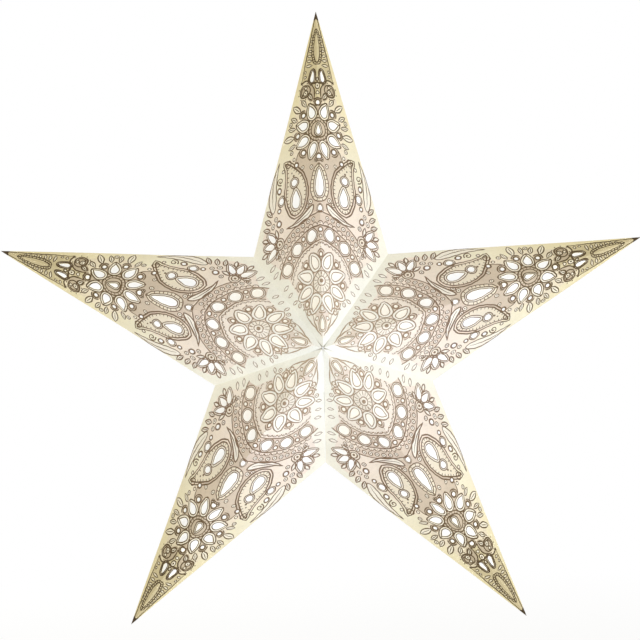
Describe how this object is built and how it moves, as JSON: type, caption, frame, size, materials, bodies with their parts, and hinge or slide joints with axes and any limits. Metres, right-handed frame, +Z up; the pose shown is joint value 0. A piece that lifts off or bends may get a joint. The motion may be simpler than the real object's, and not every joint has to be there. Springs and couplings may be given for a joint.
{
  "type": "paper star lantern",
  "caption": "Five-pointed folded paper star lantern with cut-outs lined in tissue, an open seam below and a hole for a lamp cord.",
  "frame": {"origin": "centre of the star, on its middle plane and on the line through both apexes", "axes": "+Z up along the top ray, -Y out of the front face, +X to the right as seen from the front"},
  "size_m": [0.5992, 0.1694, 0.5698],
  "materials": {
    "star_paper": "matt handmade paper, printed and cut",
    "liner_tissue": "matt tissue",
    "pad": "matt adhesive pad"
  },
  "bodies": {
    "root": {"ray_top": "star_paper", "ray_upper_right": "star_paper", "ray_lower_right": "star_paper", "ray_lower_left": "star_paper", "ray_upper_left": "star_paper", "tissue_front_top": "liner_tissue", "tissue_front_upper_right": "liner_tissue", "tissue_front_lower_right": "liner_tissue", "tissue_front_lower_left": "liner_tissue", "tissue_front_upper_left": "liner_tissue", "closing_pad_front": "pad", "tissue_back_top": "liner_tissue", "tissue_back_upper_right": "liner_tissue", "tissue_back_lower_right": "liner_tissue", "tissue_back_lower_left": "liner_tissue", "tissue_back_upper_left": "liner_tissue", "closing_pad_back": "pad"}
  },
  "joints": []
}
